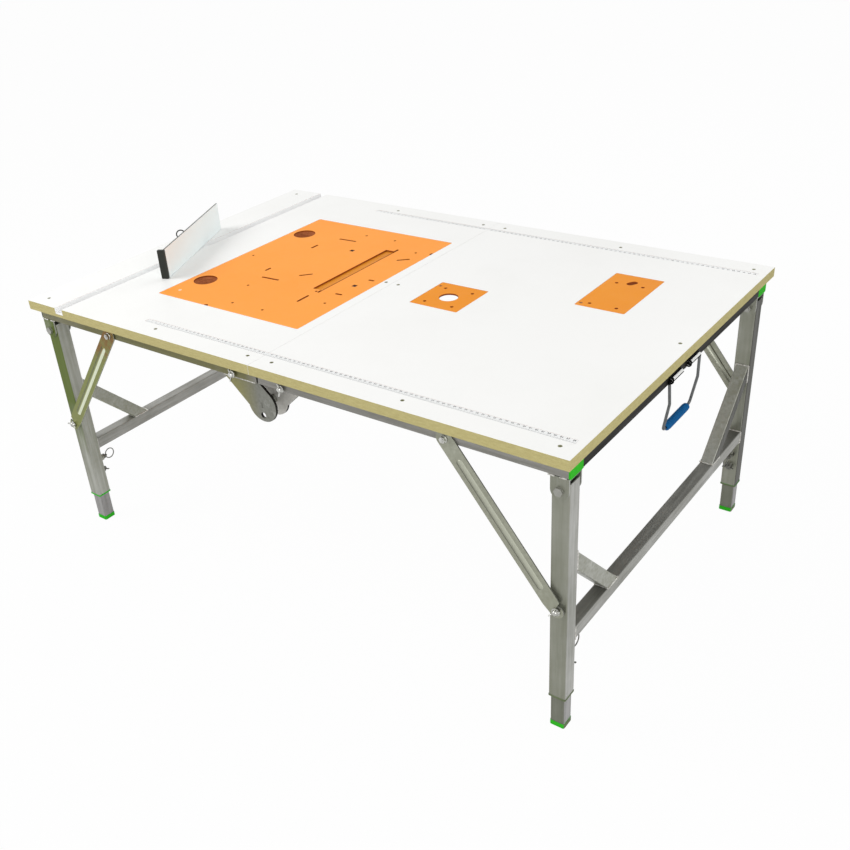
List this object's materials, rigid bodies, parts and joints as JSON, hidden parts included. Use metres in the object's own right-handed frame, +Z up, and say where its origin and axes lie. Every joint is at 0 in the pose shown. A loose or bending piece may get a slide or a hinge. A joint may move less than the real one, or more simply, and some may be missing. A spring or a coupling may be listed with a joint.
{
  "type": "folding saw table",
  "caption": "Folding work table with inset plates for a saw, router and jigsaw, a sliding fence, a carry handle and folding braced legs with height-adjustable feet.",
  "frame": {"origin": "on the floor under the middle of the open table, at the seam's middle", "axes": "+X along the table from the fence end to the handle end, +Y from front to back, +Z up"},
  "size_m": [1.2, 0.8, 0.5903],
  "materials": {
    "board": "satin white laminate on both faces over a pale wood core",
    "steel": "satin",
    "zinc": "bright zinc plate",
    "green_plastic": "gloss",
    "aluminium": "satin",
    "orange_steel": "satin powder coat",
    "blue_plastic": "satin",
    "black_plastic": "matte",
    "black_rubber": "matte"
  },
  "bodies": {
    "left_half": {"left_board": "board", "left_top_frame": "steel", "left_rail_plugs": "green_plastic", "left_bolts": "zinc", "left_hinge_plates": "steel", "left_top_screws": "zinc", "left_rulers": "aluminium", "mitre_track": "aluminium", "saw_plate": "orange_steel"},
    "right_half": {"right_board": "board", "right_top_frame": "steel", "right_rail_plugs": "green_plastic", "right_bolts": "zinc", "right_hinge_plates": "steel", "right_top_screws": "zinc", "right_rulers": "aluminium", "router_plate": "orange_steel", "jigsaw_plate": "orange_steel", "handle_clips": "steel", "handle_bushes": "black_rubber"},
    "handle": {"handle_bail": "steel", "handle_grip": "blue_plastic"},
    "fence_carriage": {"fence_slider": "steel"},
    "fence": {"fence_bar": "aluminium", "fence_end_cap": "black_plastic"},
    "fence_knob": {"fence_knob": "black_plastic"},
    "left_leg_frame": {"left_legs": "steel", "left_crossbar": "steel", "left_leg_collars": "green_plastic"},
    "right_leg_frame": {"right_legs": "steel", "right_crossbar": "steel", "right_leg_collars": "green_plastic"},
    "left_front_foot": {"left_front_foot": "steel", "left_front_foot_cap": "green_plastic"},
    "left_front_brace": {"left_front_brace": "zinc"},
    "left_front_plunger": {"left_front_plunger": "zinc"},
    "left_front_foot_clamp": {"left_front_foot_clamp": "zinc"},
    "left_front_brace_screw": {"left_front_brace_screw": "zinc"},
    "left_front_stow_screw": {"left_front_stow_screw": "zinc"},
    "left_rear_foot": {"left_rear_foot": "steel", "left_rear_foot_cap": "green_plastic"},
    "left_rear_brace": {"left_rear_brace": "zinc"},
    "left_rear_plunger": {"left_rear_plunger": "zinc"},
    "left_rear_foot_clamp": {"left_rear_foot_clamp": "zinc"},
    "left_rear_brace_screw": {"left_rear_brace_screw": "zinc"},
    "left_rear_stow_screw": {"left_rear_stow_screw": "zinc"},
    "right_front_foot": {"right_front_foot": "steel", "right_front_foot_cap": "green_plastic"},
    "right_front_brace": {"right_front_brace": "zinc"},
    "right_front_plunger": {"right_front_plunger": "zinc"},
    "right_front_foot_clamp": {"right_front_foot_clamp": "zinc"},
    "right_front_brace_screw": {"right_front_brace_screw": "zinc"},
    "right_front_stow_screw": {"right_front_stow_screw": "zinc"},
    "right_rear_foot": {"right_rear_foot": "steel", "right_rear_foot_cap": "green_plastic"},
    "right_rear_brace": {"right_rear_brace": "zinc"},
    "right_rear_plunger": {"right_rear_plunger": "zinc"},
    "right_rear_foot_clamp": {"right_rear_foot_clamp": "zinc"},
    "right_rear_brace_screw": {"right_rear_brace_screw": "zinc"},
    "right_rear_stow_screw": {"right_rear_stow_screw": "zinc"}
  },
  "joints": [
    {"name": "centre_fold", "type": "hinge", "parent": "left_half", "child": "right_half", "pos_m": [0, 0, 0.445], "axis": [0, 1, 0], "range_deg": [0, 90]},
    {"name": "handle_swing", "type": "hinge", "parent": "right_half", "child": "handle", "pos_m": [0.5958, 0, 0.495], "axis": [0, -1, 0], "range_deg": [0, 120]},
    {"name": "fence_slide", "type": "slide", "parent": "left_half", "child": "fence_carriage", "axis": [0, 1, 0], "range_m": [-0.2, 0.3]},
    {"name": "fence_swing", "type": "hinge", "parent": "fence_carriage", "child": "fence", "pos_m": [-0.5055, -0.067, 0.53], "axis": [0, 0, 1], "range_deg": [-24.5, 65.5]},
    {"name": "fence_knob_turn", "type": "hinge", "parent": "fence_carriage", "child": "fence_knob", "pos_m": [-0.5055, -0.067, 0.53], "axis": [0, 0, 1], "continuous": true},
    {"name": "left_leg_fold", "type": "hinge", "parent": "left_half", "child": "left_leg_frame", "pos_m": [-0.576, 0, 0.464], "axis": [0, -1, 0], "range_deg": [0, 90]},
    {"name": "right_leg_fold", "type": "hinge", "parent": "right_half", "child": "right_leg_frame", "pos_m": [0.576, 0, 0.464], "axis": [0, 1, 0], "range_deg": [0, 90]},
    {"name": "left_front_brace_swing", "type": "hinge", "parent": "left_half", "child": "left_front_brace", "pos_m": [-0.384, -0.3846, 0.494], "axis": [0, -1, 0], "range_deg": [0, 127.97]},
    {"name": "left_front_foot_slide", "type": "slide", "parent": "left_leg_frame", "child": "left_front_foot", "axis": [0, 0, -1], "range_m": [-0.04, 0.02]},
    {"name": "left_front_plunger_pull", "type": "slide", "parent": "left_leg_frame", "child": "left_front_plunger", "axis": [0, 1, 0], "range_m": [0, 0.008], "stiffness_N_per_m": 300, "springref_m": -0.005},
    {"name": "left_front_foot_clamp_turn", "type": "hinge", "parent": "left_leg_frame", "child": "left_front_foot_clamp", "pos_m": [-0.576, -0.34, 0.114], "axis": [0, 1, 0], "continuous": true},
    {"name": "left_front_brace_screw_turn", "type": "hinge", "parent": "left_leg_frame", "child": "left_front_brace_screw", "pos_m": [-0.576, -0.386, 0.248], "axis": [0, 1, 0], "continuous": true},
    {"name": "left_front_stow_screw_turn", "type": "hinge", "parent": "left_half", "child": "left_front_stow_screw", "pos_m": [-0.05644, -0.386, 0.494], "axis": [0, 1, 0], "continuous": true},
    {"name": "left_rear_brace_swing", "type": "hinge", "parent": "left_half", "child": "left_rear_brace", "pos_m": [-0.384, 0.3846, 0.494], "axis": [0, -1, 0], "range_deg": [0, 127.97]},
    {"name": "left_rear_foot_slide", "type": "slide", "parent": "left_leg_frame", "child": "left_rear_foot", "axis": [0, 0, -1], "range_m": [-0.04, 0.02]},
    {"name": "left_rear_plunger_pull", "type": "slide", "parent": "left_leg_frame", "child": "left_rear_plunger", "axis": [0, -1, 0], "range_m": [0, 0.008], "stiffness_N_per_m": 300, "springref_m": -0.005},
    {"name": "left_rear_foot_clamp_turn", "type": "hinge", "parent": "left_leg_frame", "child": "left_rear_foot_clamp", "pos_m": [-0.576, 0.34, 0.114], "axis": [0, 1, 0], "continuous": true},
    {"name": "left_rear_brace_screw_turn", "type": "hinge", "parent": "left_leg_frame", "child": "left_rear_brace_screw", "pos_m": [-0.576, 0.386, 0.248], "axis": [0, 1, 0], "continuous": true},
    {"name": "left_rear_stow_screw_turn", "type": "hinge", "parent": "left_half", "child": "left_rear_stow_screw", "pos_m": [-0.05644, 0.386, 0.494], "axis": [0, 1, 0], "continuous": true},
    {"name": "right_front_brace_swing", "type": "hinge", "parent": "right_half", "child": "right_front_brace", "pos_m": [0.384, -0.3846, 0.494], "axis": [0, 1, 0], "range_deg": [0, 127.97]},
    {"name": "right_front_foot_slide", "type": "slide", "parent": "right_leg_frame", "child": "right_front_foot", "axis": [0, 0, -1], "range_m": [-0.04, 0.02]},
    {"name": "right_front_plunger_pull", "type": "slide", "parent": "right_leg_frame", "child": "right_front_plunger", "axis": [0, 1, 0], "range_m": [0, 0.008], "stiffness_N_per_m": 300, "springref_m": -0.005},
    {"name": "right_front_foot_clamp_turn", "type": "hinge", "parent": "right_leg_frame", "child": "right_front_foot_clamp", "pos_m": [0.576, -0.34, 0.114], "axis": [0, 1, 0], "continuous": true},
    {"name": "right_front_brace_screw_turn", "type": "hinge", "parent": "right_leg_frame", "child": "right_front_brace_screw", "pos_m": [0.576, -0.386, 0.248], "axis": [0, 1, 0], "continuous": true},
    {"name": "right_front_stow_screw_turn", "type": "hinge", "parent": "right_half", "child": "right_front_stow_screw", "pos_m": [0.05644, -0.386, 0.494], "axis": [0, 1, 0], "continuous": true},
    {"name": "right_rear_brace_swing", "type": "hinge", "parent": "right_half", "child": "right_rear_brace", "pos_m": [0.384, 0.3846, 0.494], "axis": [0, 1, 0], "range_deg": [0, 127.97]},
    {"name": "right_rear_foot_slide", "type": "slide", "parent": "right_leg_frame", "child": "right_rear_foot", "axis": [0, 0, -1], "range_m": [-0.04, 0.02]},
    {"name": "right_rear_plunger_pull", "type": "slide", "parent": "right_leg_frame", "child": "right_rear_plunger", "axis": [0, -1, 0], "range_m": [0, 0.008], "stiffness_N_per_m": 300, "springref_m": -0.005},
    {"name": "right_rear_foot_clamp_turn", "type": "hinge", "parent": "right_leg_frame", "child": "right_rear_foot_clamp", "pos_m": [0.576, 0.34, 0.114], "axis": [0, 1, 0], "continuous": true},
    {"name": "right_rear_brace_screw_turn", "type": "hinge", "parent": "right_leg_frame", "child": "right_rear_brace_screw", "pos_m": [0.576, 0.386, 0.248], "axis": [0, 1, 0], "continuous": true},
    {"name": "right_rear_stow_screw_turn", "type": "hinge", "parent": "right_half", "child": "right_rear_stow_screw", "pos_m": [0.05644, 0.386, 0.494], "axis": [0, 1, 0], "continuous": true}
  ],
  "couplings": [
    {"joint": "left_front_brace_swing", "follows": "left_leg_fold", "ratio": 1.4219},
    {"joint": "left_rear_brace_swing", "follows": "left_leg_fold", "ratio": 1.4219},
    {"joint": "right_front_brace_swing", "follows": "right_leg_fold", "ratio": 1.4219},
    {"joint": "right_rear_brace_swing", "follows": "right_leg_fold", "ratio": 1.4219}
  ]
}
